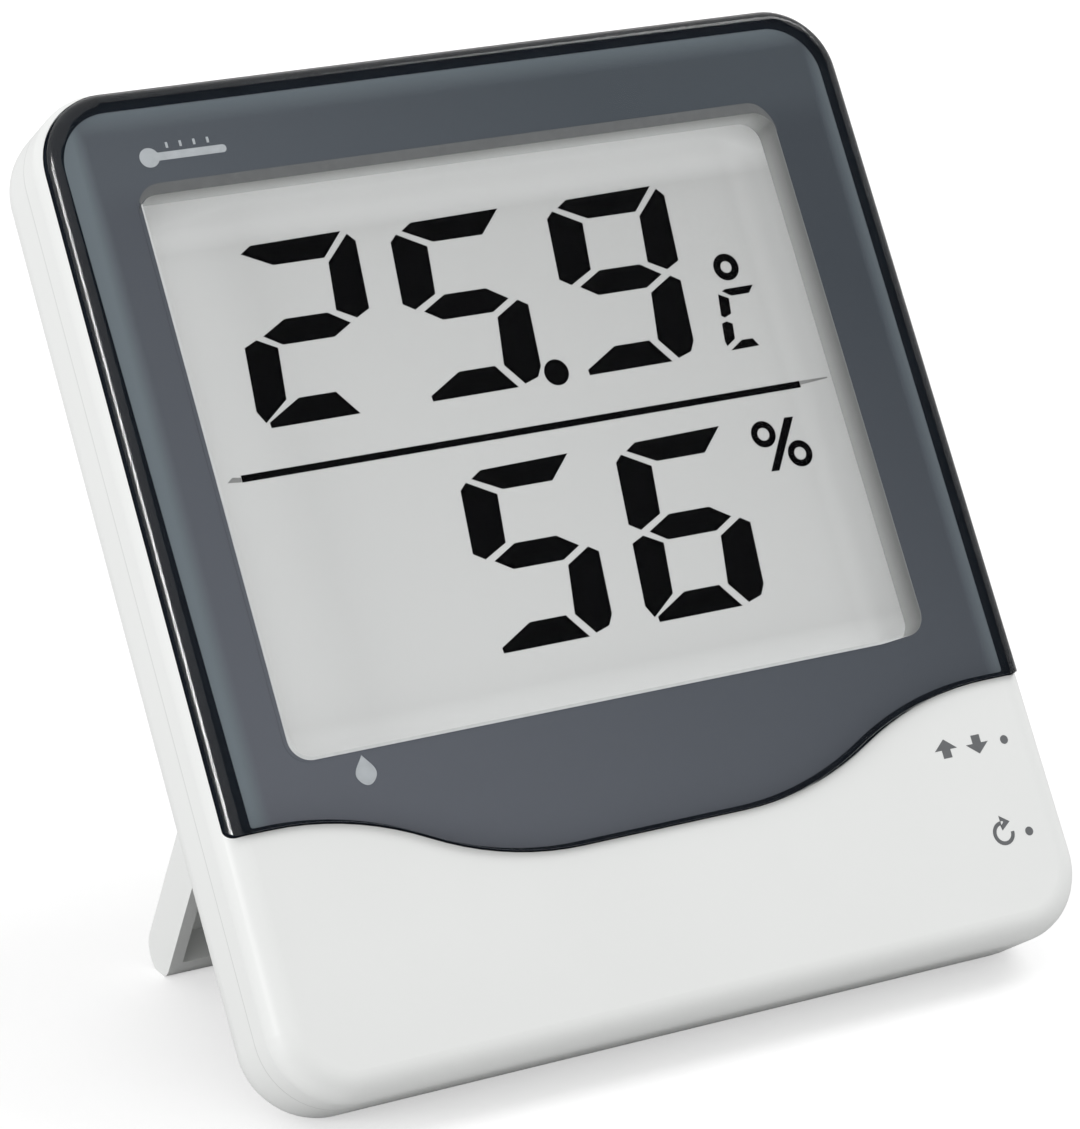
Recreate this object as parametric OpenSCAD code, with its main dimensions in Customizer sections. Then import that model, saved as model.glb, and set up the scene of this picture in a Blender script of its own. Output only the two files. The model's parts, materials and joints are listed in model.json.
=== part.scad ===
// Desk thermo-hygrometer: a slim case with a proud, wavy lens, two side
// buttons and a tray-shaped leg that swings out of its back.
// Every piece is drawn in case coordinates: x across, y up the face and z
// back from the lens. placed() then leans the case on its opened leg.

/* [Case] */
// Width of the case
case_w = 99; // [95:0.5:112]
// Height of the case along its face
case_h = 110.6; // [109:0.2:122]
// Thickness of the case from panel to back
case_t = 16; // [15.9:0.1:18]
// Wall of both shells
wall = 1.8; // [1.5:0.1:2]
// Corner radius seen from the front
corner_r = 8.5; // [7:0.5:10]
// Round of the front edge
front_round = 3; // [1.5:0.1:3.4]
// Round of the rear edge
rear_round = 6; // [4:0.5:6.5]
// Depth of the front shell
front_t = 5.9; // [5.5:0.1:6.3]
// Height of the tongue at the parting line
tongue_h = 1; // [0.6:0.1:1.4]
// Thickness of the tongue
tongue_t = 0.8; // [0.6:0.1:1]

/* [Lens] */
// Inset of the lens from the sides and top of the case
lens_inset = 0.7; // [0.5:0.1:1.5]
// Thickness of the lens
lens_t = 2.2; // [1.8:0.1:2.6]
// How far the lens stands proud of the panel
lens_proud = 0.6; // [0.3:0.1:1]
// Round of the lens edge at the sides and top
lens_round = 1.5; // [0.5:0.1:1.7]
// Height of the ends of the wave
wave_end = 29.1; // [26:0.1:31]
// Drop from the ends of the wave to its middle
wave_drop = 8.45; // [5:0.05:9]
// Length of the flat middle of the wave
wave_flat = 20; // [10:1:24]
// Length of each slope of the wave
wave_run = 34; // [28:1:35]
// Round of the lens corners at the ends of the wave
wave_corner = 1; // [0.7:0.1:2]
// Thickness of the print behind the lens
mask_t = 0.1; // [0.1:0.05:0.2]
// Thickness of the seat behind the lens
seat_t = 1.5; // [1.2:0.1:1.6]

/* [Display] */
// Distance from the sides of the case to the display's window
window_side = 10.05; // [10:0.05:13]
// Height of the display's window
window_h = 62.7; // [55:0.1:63]
// Distance from the top of the case to the window
window_top = 12.1; // [11.5:0.1:13]
// Corner radius of the window
window_r = 2.5; // [1:0.1:3]
// Depth from the lens seat to the display
window_depth = 3.8; // [3.5:0.1:4]
// Wall of the tube round the window
tube_t = 1.2; // [1:0.1:1.4]
// Border of the display's glass round the window
glass_border = 3; // [2.4:0.1:3]
// Thickness of each sheet of glass
glass_t = 1.1; // [0.7:0.1:1.1]
// Thickness of each polarizer
polarizer_t = 0.2; // [0.1:0.05:0.2]
// Height of the contact ledge on the front glass
ledge_h = 3; // [2.6:0.1:3]
// Thickness of the ribs round the glass
glass_rib = 1; // [0.8:0.1:1.2]
// Depth of the rubber contact strip
strip_depth = 2.5; // [2.3:0.1:2.7]
// Height of the rubber contact strip
strip_h = 2; // [1.6:0.1:2.2]

/* [Main board] */
// Thickness of both circuit boards
board_t = 1.2; // [0.8:0.1:1.3]
// Height of the main board
board_h = 56.5; // [50:0.5:57]
// Radius of the posts under the main board
board_post_r = 1.8; // [1.6:0.1:2]
// Shank radius of the board screws
board_screw_r = 0.7; // [0.6:0.05:0.8]
// Length of the board screws under their heads
board_screw_l = 4.5; // [4:0.1:5]

/* [Case screws] */
// Shank radius of the case screws
screw_r = 1; // [0.8:0.05:1.1]
// Length of the case screws under their heads
screw_l = 5; // [4:0.1:5.5]
// Head radius of the case screws
screw_head_r = 2.1; // [1.8:0.1:2.2]
// Head height of the case screws
screw_head_h = 1.4; // [1.2:0.1:1.4]
// Distance of the upper case screws from the sides
upper_screw_inset = 19.5; // [16:0.5:24]
// Distance of the lower case screws from the sides
lower_screw_inset = 16; // [15.5:0.5:16.5]

/* [Buttons] */
// Height of the upper button
upper_button_y = 22.05; // [21:0.05:23]
// Height of the lower button
lower_button_y = 11.5; // [11:0.1:12.5]
// Length of a button
button_l = 5; // [4:0.1:6]
// Width of a button across the case
button_w = 2.6; // [2:0.1:2.8]
// How far a button stands proud of the side
button_proud = 0.8; // [0.6:0.1:1.2]
// Travel of a button
button_travel = 0.5; // [0.3:0.05:0.6]
// Length of a push switch
switch_l = 4.5; // [4:0.1:5]
// Diameter of a push switch's plunger
plunger_d = 1.6; // [1.2:0.1:1.8]

/* [Battery] */
// Diameter of the AAA cell
cell_d = 10.5; // [10:0.1:10.5]
// Length of the AAA cell with its nub
cell_l = 44.5; // [43.5:0.1:44.5]
// Height of the cell's axis
cell_y = 15.5; // [15.4:0.1:16]
// Length that the spring takes up
spring_l = 4.7; // [4.2:0.1:5]
// Wall of the battery bay
bay_wall = 1.2; // [1:0.1:1.4]
// Wall at each end of the battery bay
bay_end = 3.6; // [3.4:0.1:4]
// Thickness of the battery door
door_t = 1.2; // [1:0.1:1.2]
// Slide that frees the hooks of the battery door
door_travel = 2.5; // [2.2:0.1:2.5]

/* [Stand leg] */
// Distance from the sides of the case to the leg
leg_inset = 8.35; // [7.6:0.05:10]
// Thickness of the leg
leg_t = 5.6; // [5.4:0.1:5.7]
// Distance from the hinge axis to the centre of the foot's round
leg_l = 36.6; // [36:0.1:38]
// Height of the hinge axis
hinge_y = 42.2; // [41.5:0.1:43.5]
// Angle between the folded and the opened leg
leg_open = 62.2; // [50:0.1:70]
// Skin of the leg
leg_skin = 1.5; // [1.2:0.1:1.5]
// Side walls of the leg
leg_side = 1.5; // [1.2:0.1:1.8]
// Depth of the flat on the foot
foot_flat = 0.25; // [0.15:0.05:0.4]
// Radius of the hinge pins
pin_r = 1.25; // [1:0.05:1.4]
// Length of the hinge pins
pin_l = 1.65; // [1.2:0.05:1.8]
// Wall of the recess that takes the leg
recess_wall = 1.5; // [1.4:0.1:1.5]
// Side walls of the recess that hold the hinge pins
recess_side = 1.8; // [1.7:0.1:2]

/* [Rear wall] */
// Height of the keyhole's round entry
keyhole_y = 92; // [88:0.5:94]
// Radius of the keyhole's round entry
keyhole_r = 3.2; // [2.8:0.1:3.5]
// Radius of the keyhole's slot
keyhole_slot_r = 1.65; // [1.4:0.05:1.8]
// Rise of the keyhole's slot
keyhole_rise = 5; // [4:0.5:5.5]
// Number of vent slots
vent_count = 5; // [3:1:6]
// Length of a vent slot
vent_l = 12; // [8:0.5:14]
// Height of a vent slot
vent_h = 1.2; // [0.8:0.1:1.4]
// Spacing of the vent slots
vent_pitch = 2.6; // [2.2:0.1:3]
// Distance of the vents from the middle
vent_x = 22; // [20:1:26]
// Distance of the unit switch from the middle
unit_x = 25; // [20:1:30]
// Height of the unit switch
unit_y = 75; // [70:1:80]
// Travel of the unit switch
unit_travel = 2; // [1.5:0.1:2.4]

/* [Fits] */
// Gap round the lens and between the shells
joint_gap = 0.1; // [0.05:0.05:0.2]
// Gap round the glass, the cell and the tabs
seat_gap = 0.2; // [0.1:0.05:0.25]
// Gap round the buttons, knob and hooks
slide_gap = 0.25; // [0.2:0.05:0.3]
// Gap round the folded leg
leg_gap = 0.3; // [0.25:0.05:0.35]
// Gap between the opened leg and its stop
stop_gap = 0.1; // [0.05:0.05:0.15]
// Gap round pins and screws
pin_gap = 0.05; // [0.05:0.01:0.1]

/* [Hidden] */
$fn = 64;
// Overrun of a cut past the face that it opens
over = 1;
// Size past every edge of the case
far = 200;
small = 0.01;

// Shells
half_w = case_w / 2;
panel_z = lens_proud;
rear_z = panel_z + case_t;
parting_z = panel_z + front_t;
inner_w = half_w - wall;
inner_r = corner_r - wall;
inner_top = case_h - wall;
panel_in = panel_z + wall;
rear_in = rear_z - wall;
seat_z = lens_t + mask_t;
floor_z = seat_z + seat_t;

// Lens and its wave: two equal arcs make each slope
lens_half = half_w - lens_inset;
lens_top = case_h - lens_inset;
lens_r = corner_r - lens_inset;
wave_low = wave_end - wave_drop;
wave_x0 = wave_flat / 2;
wave_x1 = wave_x0 + wave_run;
wave_r = (pow(wave_run, 2) + pow(wave_drop, 2)) / (4 * wave_drop);
wave_a = asin(wave_run / 2 / wave_r);
wave_fn = 360;

// Display
window_w = case_w - 2 * window_side;
window_hi = case_h - window_top;
window_lo = window_hi - window_h;
lcd_z = seat_z + window_depth;
glass_z = lcd_z + polarizer_t;
lcd_rear = glass_z + 2 * glass_t + polarizer_t;
glass_half = window_w / 2 + glass_border;
glass_lo = window_lo - glass_border;
glass_hi = window_hi + glass_border;
ledge_hi = glass_hi + ledge_h;
strip_z = glass_z + glass_t;
strip_half = glass_half - 3.45;

// Main board
board_z = strip_z + strip_depth;
board_rear = board_z + board_t;
board_half = inner_w - 1.2;
board_lo = ledge_hi - board_h;
post_x = board_half - 1.3;
post_inset = 5.5;
post_ys = [board_lo + 4, ledge_hi - post_inset - 1];
board_head_r = board_screw_r + 0.55;
board_head_h = 0.9;

// Stand leg and its recess
leg_w = case_w - 2 * leg_inset;
leg_r = leg_t / 2;
hinge_z = rear_z - leg_r;
leg_half = leg_w / 2;
foot_y = hinge_y - leg_l;
recess_half = leg_half + leg_gap;
recess_r = leg_r + leg_gap;
recess_z = hinge_z - recess_r;
recess_in = recess_z - recess_wall;
recess_out = recess_half + recess_side;
lip_y = foot_y - recess_r;
lip_z = hinge_z + 0.8;
tray_z = rear_z - leg_skin;
tray_lo = foot_y + 1;
tray_hi = hinge_y - leg_r - 0.6;
stop_top = hinge_y + recess_r + recess_wall;
open_foot = [hinge_y - leg_l * cos(leg_open), hinge_z + leg_l * sin(leg_open)];

// Case screws
upper_screw_x = half_w - upper_screw_inset;
post_r = screw_r + 1;
upper_screw_y = inner_top - post_r - 0.2;
lower_screw_x = half_w - lower_screw_inset;
lower_screw_y = glass_lo - 5.3;
lower_post_r = screw_r + 1.4;
head_r = screw_head_r + 0.2;
upper_seat_z = rear_in - wall;
upper_floor = 1.2;
lower_seat_z = recess_z - 1.1;
lower_floor = 1.2;

// Lean of the case: a flat under the rear bottom round and the foot
heel_r = rear_round;
heel = [rear_round, rear_z - rear_round];
sole_r = leg_r - foot_flat;
span = [open_foot[0] - heel[0], open_foot[1] - heel[1]];
span_l = norm(span);
lean = atan2(span[0], span[1]) + asin((heel_r - sole_r) / span_l);
lift = heel[1] * sin(lean) - heel[0] * cos(lean) + heel_r;
front_y = (panel_z + front_round) * cos(lean) + front_round * sin(lean) - front_round;
back_y = (rear_z - rear_round) * cos(lean) + (case_h - rear_round) * sin(lean)
    + rear_round;
mid_y = (front_y + back_y) / 2;
echo(lean = lean, lift = lift, mid_y = mid_y, open_foot = open_foot);

// Battery
cell_r = cell_d / 2;
cell_z = panel_in + 0.3 + cell_r;
bay_half = (cell_l + spring_l + 0.8) / 2;
bay_lo = cell_y - cell_r - seat_gap + 0.05;
bay_hi = cell_y + cell_r + seat_gap + 0.05;
plate_t = 0.4;
cell_x1 = bay_half - plate_t;
cell_x0 = cell_x1 - cell_l;
bay_z = floor_z + leg_gap;
door_z = cell_z + cell_r + 0.2;
bay_rear = door_z - 0.1;
bay_out = bay_half + bay_end;
door_lo = bay_lo - 0.8;
door_hi = bay_hi + 0.9;

// Contacts, leads and ribbon
contact_w = 9.6;
contact_h = 9;
tab_w = 1.6;
tab_y = bay_lo + 2;
tab_z = bay_z + 0.5;
spring_wire = 0.35;
spring_r0 = 4.2;
spring_r1 = 2;
nub_r = 1.9;
nub_l = 0.8;
lead_r = 0.5;
lead_inset = 1.2;
lead_z = recess_in - 1.2;
ribbon_w = 2.2;
ribbon_t = 0.3;
ribbon_end = 1.5;

// Hooks of the battery door
hook_x = bay_half + bay_end / 2;
hook_ys = [door_lo + 3.4, door_hi - 2.6];
hook_l = 2;
hook_neck = 1;
hook_foot = 1.8;
hook_drop = 0.9;
hook_t = 0.8;

// Buttons and their board
button_z = parting_z;
button_ys = [upper_button_y, lower_button_y];
switch_w = button_w + 0.6;
switch_depth = 4.5;
switch_inset = 3.7;
plunger_r = plunger_d / 2;
plunger_out = 1.3;
button_board_z = button_z + switch_w / 2;
button_board_t = 0.8;
flange_t = 0.8;
flange_rim = 0.8;
flange_x0 = inner_w - 0.1 - flange_t;
button_board_x1 = flange_x0 - button_travel - slide_gap;
button_board_w = 10;
button_board_lo = lower_button_y - 6;
button_board_hi = upper_button_y + 3.2;
switch_x1 = inner_w - switch_inset;
switch_x0 = switch_x1 - switch_depth;
plunger_x1 = switch_x1 + plunger_out;
stake_r = 0.75;
stake_x = button_board_x1 - button_board_w + 1.8;
stake_ys = [(button_ys[0] + button_ys[1]) / 2, button_board_lo + 1.6];
stake_top = button_board_z + button_board_t + 0.2;

// Parts on the main board
blob_r = 8;
blob_h = 1.6;
crystal_x = 14;
crystal_r = 1;
crystal_l = 6;
chip_w = 1.2;
chip_l = 2;
chip_pitch = 3;
capacitor_h = 0.8;
resistor_h = 0.5;
humidity_w = 5;
humidity_l = 8;
humidity_h = 1.4;
bead_r = 1.2;
bead_h = 1.8;

// Unit switch
unit_l = 8.5;
unit_w = 3.6;
unit_depth = 2.6;
knob_l = 2.2;
knob_w = 1.6;
knob_z0 = board_rear + 1.2;
knob_z1 = rear_z - 0.4;

// Colours
case_col = [0.91, 0.92, 0.91];
black_col = [0.12, 0.13, 0.15];
glass_col = [0.75, 0.77, 0.74];
metal_col = [0.78, 0.78, 0.76];
board_col = [0.15, 0.42, 0.25];

// Puts what is drawn in case coordinates on the table
module placed() {
    translate([0, -mid_y, lift])
        rotate([-lean, 0, 0])
        mirror([0, 1, -1])
        children();
}

// Extrudes a side view, drawn as height and depth, across the case
module across(half) {
    translate([-half, 0, 0])
        rotate([90, 0, 90])
        linear_extrude(2 * half)
        children();
}

// Extrudes an outline seen from the front from depth z0 to depth z1
module layer(z0, z1) {
    translate([0, 0, z0])
        linear_extrude(z1 - z0)
        children();
}

module mirrored() {
    children();
    mirror([1, 0, 0])
        children();
}

// Centred rectangle between two heights with rounded corners
module plate(half, y0, y1, r) {
    translate([r - half, y0])
        square([2 * (half - r), y1 - y0]);
    translate([-half, y0 + r])
        square([2 * half, y1 - y0 - 2 * r]);
    for (x = [r - half, half - r], y = [y0 + r, y1 - r])
        translate([x, y])
            circle(r);
}

// Section of a rounded edge: across is 0 to r and depth 0 to t
module edge_section(r, t, round_front, round_rear) {
    big = max(round_front, round_rear);
    translate([0, round_front])
        square([r, t - round_front - round_rear]);
    square([r - round_front, t / 2]);
    translate([0, t / 2])
        square([r - round_rear, t / 2]);
    if (round_front > 0)
        intersection() {
            translate([r - round_front, round_front])
                circle(round_front);
            translate([r - round_front, 0])
                square(big);
        }
    if (round_rear > 0)
        intersection() {
            translate([r - round_rear, t - round_rear])
                circle(round_rear);
            translate([r - round_rear, t - big])
                square(big);
        }
}

// Flat box with rounded corners whose front and rear edges are rounded too
module pillow(half, y0, y1, r, z0, z1, round_front, round_rear) {
    long = y1 - y0 - 2 * r;
    translate([0, 0, z0]) {
        for (x = [r - half, half - r], y = [y0 + r, y1 - r])
            translate([x, y, 0])
                rotate_extrude()
                edge_section(r, z1 - z0, round_front, round_rear);
        mirrored()
            translate([half - r, y1 - r, 0])
            rotate([90, 0, 0])
            linear_extrude(long)
            edge_section(r, z1 - z0, round_front, round_rear);
        translate([0, y1 - r, 0])
            across(half - r)
            edge_section(r, z1 - z0, round_front, round_rear);
        translate([0, y0 + r, 0])
            mirror([0, 1, 0])
            across(half - r)
            edge_section(r, z1 - z0, round_front, round_rear);
        translate([r - half, y0 + r, 0])
            cube([2 * (half - r), long, z1 - z0]);
    }
}

// Everything above the wave, with the wave moved down by grow
module above_wave(grow) {
    out_r = wave_r - grow;
    in_r = wave_r + grow;
    tx = wave_x1 - out_r * sin(wave_a);
    ty = wave_end - wave_r + out_r * cos(wave_a);
    end_y = wave_end - grow;
    low_y = wave_low - grow;
    difference() {
        union() {
            polygon([[-far, end_y], [-wave_x1, end_y], [-tx, ty], [-wave_x0, low_y],
                [wave_x0, low_y], [tx, ty], [wave_x1, end_y], [far, end_y],
                [far, far], [-far, far]]);
            for (s = [-1, 1])
                intersection() {
                    translate([s * wave_x0, wave_low + wave_r])
                        circle(in_r, $fn = wave_fn);
                    translate([s > 0 ? wave_x0 - over : -tx, low_y])
                        square([tx - wave_x0 + over, ty - low_y + over]);
                }
        }
        for (s = [-1, 1])
            translate([s * wave_x1, wave_end - wave_r])
                circle(out_r, $fn = wave_fn);
    }
}

// Outline of the lens, grown by grow
module lens_plan(grow) {
    r = wave_corner + grow;
    difference() {
        intersection() {
            plate(lens_half + grow, 0, lens_top + grow, lens_r + grow);
            above_wave(grow);
        }
        for (s = [-1, 1])
            translate([s * (lens_half + grow - r), wave_end - grow + r])
                difference() {
                    translate([s > 0 ? 0 : -far, -far])
                        square(far);
                    circle(r);
                }
    }
}

module front_lens() {
    color(black_col)
        placed()
        intersection() {
            pillow(lens_half, 0, lens_top, lens_r, 0, lens_t, lens_round, 0);
            layer(-over, lens_t + over)
                lens_plan(0);
        }
}

module lens_mask() {
    color([0.33, 0.34, 0.37])
        placed()
        layer(lens_t, seat_z)
        difference() {
            lens_plan(-0.3);
            plate(window_w / 2, window_lo, window_hi, window_r);
        }
}

// Round post of the front shell, standing on its front wall
module front_post(x, y, r, z1) {
    translate([x, y, panel_in - small])
        cylinder(r = r, h = z1 - panel_in + small);
}

module bore(x, y, r, z0, z1) {
    translate([x, y, z0])
        cylinder(r = r, h = z1 - z0);
}

// Openings of both shells that the button caps slide in
module button_holes() {
    for (y = button_ys)
        translate([inner_w - over, y, button_z])
            rotate([0, 90, 0])
            linear_extrude(wall + 2 * over)
            stadium(button_w + 2 * slide_gap, button_l + 2 * slide_gap);
}

// Upright outline with half-round ends
module stadium(w, l) {
    translate([-w / 2, w / 2 - l / 2])
        square([w, l - w]);
    for (s = [-1, 1])
        translate([0, s * (l - w) / 2])
            circle(w / 2);
}

module front_case() {
    color(case_col)
        placed()
        difference() {
            union() {
                difference() {
                    pillow(half_w, 0, case_h, corner_r, panel_z, parting_z,
                        front_round, 0);
                    layer(floor_z, rear_z)
                        plate(inner_w, wall, inner_top, inner_r);
                    layer(panel_in, floor_z + over)
                        difference() {
                            plate(inner_w, wall, inner_top, inner_r);
                            above_wave(joint_gap + seat_t);
                        }
                }
                tongue();
                display_tube();
                glass_ribs();
                cell_cradle();
                for (s = [-1, 1]) {
                    front_post(s * upper_screw_x, upper_screw_y, post_r,
                        upper_seat_z - upper_floor);
                    front_post(s * lower_screw_x, lower_screw_y, lower_post_r,
                        lower_seat_z - lower_floor);
                    for (y = post_ys)
                        front_post(s * post_x, y, board_post_r, board_z);
                }
                for (y = stake_ys) {
                    front_post(stake_x, y, stake_r + 0.75, button_board_z);
                    front_post(stake_x, y, stake_r, stake_top);
                }
            }
            layer(-over, seat_z)
                lens_plan(joint_gap);
            layer(seat_z - over, lcd_z + over)
                plate(window_w / 2, window_lo, window_hi, window_r);
            for (s = [-1, 1]) {
                bore(s * upper_screw_x, upper_screw_y, screw_r + pin_gap,
                    upper_seat_z - screw_l - 0.5, rear_z);
                bore(s * lower_screw_x, lower_screw_y, screw_r + pin_gap,
                    lower_seat_z - screw_l - 0.3, rear_z);
                for (y = post_ys)
                    bore(s * post_x, y, board_screw_r + pin_gap,
                        board_rear - board_screw_l - 0.3, rear_z);
            }
            button_holes();
        }
}

// Tongue of the front shell, which enters the rear shell
module tongue() {
    layer(parting_z - small, parting_z + tongue_h)
        difference() {
            plate(inner_w + tongue_t, wall - tongue_t, inner_top + tongue_t,
                inner_r + tongue_t);
            plate(inner_w, wall, inner_top, inner_r);
        }
}

// Tube round the window, on which the display rests
module display_tube() {
    layer(floor_z - small, lcd_z)
        difference() {
            plate(window_w / 2 + tube_t, window_lo - tube_t, window_hi + tube_t,
                window_r + tube_t);
            plate(window_w / 2, window_lo, window_hi, window_r);
        }
}

// Ribs that place the glass
module glass_ribs() {
    gap = seat_gap;
    rear = lcd_rear - polarizer_t - 0.3;
    mirrored()
        for (y = [glass_lo + 4, (glass_lo + glass_hi) / 2, glass_hi - 8])
            translate([glass_half + gap, y, floor_z - small])
                cube([glass_rib, 6, rear - floor_z + small]);
    mirrored()
        translate([glass_half - 16, glass_lo - gap - glass_rib, floor_z - small])
            cube([10, glass_rib, rear - floor_z + small]);
    mirrored()
        translate([upper_screw_x - 5, ledge_hi + gap, floor_z - small])
            cube([10, glass_rib, strip_z - floor_z]);
}

// Two saddles under the battery cell
module cell_cradle() {
    difference() {
        for (x = [-14, 14])
            translate([x, cell_y - 4, panel_in - small])
                cube([1.2, min(8, wave_low - seat_t - joint_gap - cell_y + 4), 1.6]);
        translate([-far / 2, cell_y, cell_z])
            rotate([0, 90, 0])
            cylinder(r = cell_r + 0.1, h = far);
    }
}

// Side view of the space that the leg folds into
module recess_section() {
    up = [sin(leg_open), cos(leg_open)];
    out = [-cos(leg_open), sin(leg_open)];
    stop = leg_r + stop_gap;
    a = [hinge_y + stop * up[0], hinge_z + stop * up[1]];
    reach = 2 * leg_t;
    translate([hinge_y, hinge_z])
        circle(recess_r);
    polygon([[hinge_y, hinge_z], a, a + reach * out, [foot_y, a[1] + reach],
        [foot_y, hinge_z]]);
    translate([foot_y, recess_z])
        square([leg_l, far]);
    translate([foot_y, hinge_z])
        circle(recess_r);
    translate([lip_y, hinge_z])
        square([foot_y - lip_y + small, far]);
    translate([-over, lip_z])
        square([foot_y + over, far]);
}

// Walls round the recess, as a side view that the case's outline trims
module recess_walls() {
    translate([-over, recess_in])
        square([stop_top + over, rear_z - recess_in]);
}

// Bay that holds the battery cell
module battery_bay() {
    translate([-bay_out, bay_lo - bay_wall, bay_z])
        cube([2 * bay_out, bay_hi - bay_lo + 2 * bay_wall, bay_rear - bay_z]);
}

// Track of one hook: an undercut, its neck and the window above it
module hook_track(y) {
    g = slide_gap;
    drop_z = door_z - hook_drop;
    low = y - door_travel - g;
    translate([-hook_foot / 2 - g, low, drop_z - hook_t - g])
        cube([hook_foot + 2 * g, hook_l + door_travel + 2 * g, hook_t + 2 * g]);
    translate([-hook_neck / 2 - g, low, drop_z])
        cube([hook_neck + 2 * g, hook_l + door_travel + 2 * g, far]);
    translate([-hook_foot / 2 - g, low, drop_z])
        cube([hook_foot + 2 * g, door_travel, far]);
}

module rear_case() {
    color(case_col)
        placed()
        difference() {
            intersection() {
                pillow(half_w, 0, case_h, corner_r, bay_z - over, rear_z, 0,
                    rear_round);
                union() {
                    difference() {
                        layer(parting_z, rear_z + over)
                            plate(half_w + over, -over, case_h + over, corner_r);
                        pillow(inner_w, wall, inner_top, inner_r, parting_z - over,
                            rear_in, 0, rear_round - wall);
                    }
                    across(recess_out)
                        recess_walls();
                    battery_bay();
                    for (s = [-1, 1]) {
                        bore(s * upper_screw_x, upper_screw_y, head_r + 0.9,
                            upper_seat_z - upper_floor, rear_z);
                        bore(s * lower_screw_x, lower_screw_y, head_r + 0.9,
                            lower_seat_z - lower_floor, recess_in + small);
                    }
                    display_ribs();
                }
            }
            rear_rebate();
            difference() {
                across(recess_half)
                    recess_section();
                battery_bay();
            }
            hinge_holes();
            translate([-bay_half, bay_lo, bay_z - over])
                cube([2 * bay_half, bay_hi - bay_lo, far]);
            for (s = [-1, 1], y = hook_ys)
                translate([s * hook_x, 0, 0])
                    hook_track(y);
            tab_slots();
            for (s = [-1, 1]) {
                bore(s * upper_screw_x, upper_screw_y, screw_r + 0.2, 0, rear_z);
                bore(s * upper_screw_x, upper_screw_y, head_r, upper_seat_z,
                    rear_z + over);
                bore(s * lower_screw_x, lower_screw_y, screw_r + 0.2, 0, rear_z);
                bore(s * lower_screw_x, lower_screw_y, head_r, lower_seat_z,
                    rear_z);
            }
            button_holes();
            keyhole();
            vents();
            knob_slot();
        }
}

// Open slots in the ends of the bay for the contacts' tabs
module tab_slots() {
    for (s = [-1, 1])
        translate([s * hook_x - bay_end, tab_y - tab_w / 2 - seat_gap, bay_z - over])
            cube([2 * bay_end, tab_w + 2 * seat_gap, over + tab_z - bay_z + 2 * plate_t]);
}

// Rebate of the rear shell that takes the tongue
module rear_rebate() {
    layer(parting_z - over, parting_z + tongue_h + joint_gap)
        difference() {
            plate(inner_w + tongue_t + joint_gap, wall - tongue_t - joint_gap,
                inner_top + tongue_t + joint_gap, inner_r + tongue_t + joint_gap);
            plate(inner_w - small, wall + small, inner_top - small, inner_r);
        }
}

// Ribs that press on the back of the display
module display_ribs() {
    for (s = [-1, 1])
        translate([s * 20 - 0.6, glass_lo + 3, lcd_rear])
            cube([1.2, 8, recess_in - lcd_rear + small]);
}

module hinge_holes() {
    for (s = [-1, 1])
        translate([s * (recess_half - over), hinge_y, hinge_z])
            rotate([0, s * 90, 0])
            cylinder(r = pin_r + pin_gap, h = over + pin_l);
}

module keyhole() {
    bore(0, keyhole_y, keyhole_r, rear_in - over, rear_z + over);
    bore(0, keyhole_y + keyhole_rise, keyhole_slot_r, rear_in - over,
        rear_z + over);
    translate([-keyhole_slot_r, keyhole_y, rear_in - over])
        cube([2 * keyhole_slot_r, keyhole_rise, wall + 2 * over]);
}

module vents() {
    for (i = [0 : vent_count - 1])
        translate([vent_x, keyhole_y + (i - (vent_count - 1) / 2) * vent_pitch,
            rear_in - over])
            linear_extrude(wall + 2 * over)
            rotate([0, 0, 90])
            stadium(vent_h, vent_l);
}

// Slot of the unit switch's knob, from its rest place upward
module knob_slot() {
    g = slide_gap;
    translate([-unit_x - knob_w / 2 - g, unit_y - knob_l / 2 - unit_travel / 2 - g,
        rear_in - over])
        cube([knob_w + 2 * g, knob_l + unit_travel + 2 * g, wall + 2 * over]);
}

// Display layers: each sheet lies on the one in front of it
module lcd_front_polarizer() {
    color(glass_col)
        placed()
        layer(lcd_z, glass_z)
        plate(glass_half - 0.8, glass_lo + 0.8, glass_hi - 0.8, 0.5);
}

module lcd_front_glass() {
    color(glass_col)
        placed()
        layer(glass_z, glass_z + glass_t)
        plate(glass_half, glass_lo, ledge_hi, 0.3);
}

module lcd_rear_glass() {
    color(glass_col)
        placed()
        layer(glass_z + glass_t, glass_z + 2 * glass_t)
        plate(glass_half, glass_lo, glass_hi, 0.3);
}

module lcd_rear_polarizer() {
    color([0.7, 0.72, 0.7])
        placed()
        layer(lcd_rear - polarizer_t, lcd_rear)
        plate(glass_half - 0.8, glass_lo + 0.8, glass_hi - 0.8, 0.5);
}

module zebra_connector() {
    color([0.35, 0.35, 0.38])
        placed()
        translate([-strip_half, glass_hi + 0.5, strip_z])
        cube([2 * strip_half, strip_h, strip_depth]);
}

module circuit_board() {
    color(board_col)
        placed()
        layer(board_z, board_rear)
        difference() {
            plate(board_half, board_lo, ledge_hi, 2);
            for (s = [-1, 1], y = post_ys)
                translate([s * post_x, y])
                    circle(board_screw_r + 0.1);
        }
}

// Drop of resin: the cap of a ball, blob_r wide and blob_h high
module chip_blob() {
    ball = (pow(blob_r, 2) + pow(blob_h, 2)) / (2 * blob_h);
    color(black_col)
        placed()
        translate([0, board_lo + 16, board_rear])
        rotate_extrude($fn = 180)
        intersection() {
            translate([0, blob_h - ball])
                circle(ball);
            square([blob_r + over, blob_h + over]);
        }
}

module crystal() {
    color(metal_col)
        placed()
        translate([crystal_x, board_lo + 12, board_rear + crystal_r])
        rotate([-90, 0, 0])
        cylinder(r = crystal_r, h = crystal_l);
}

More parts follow.
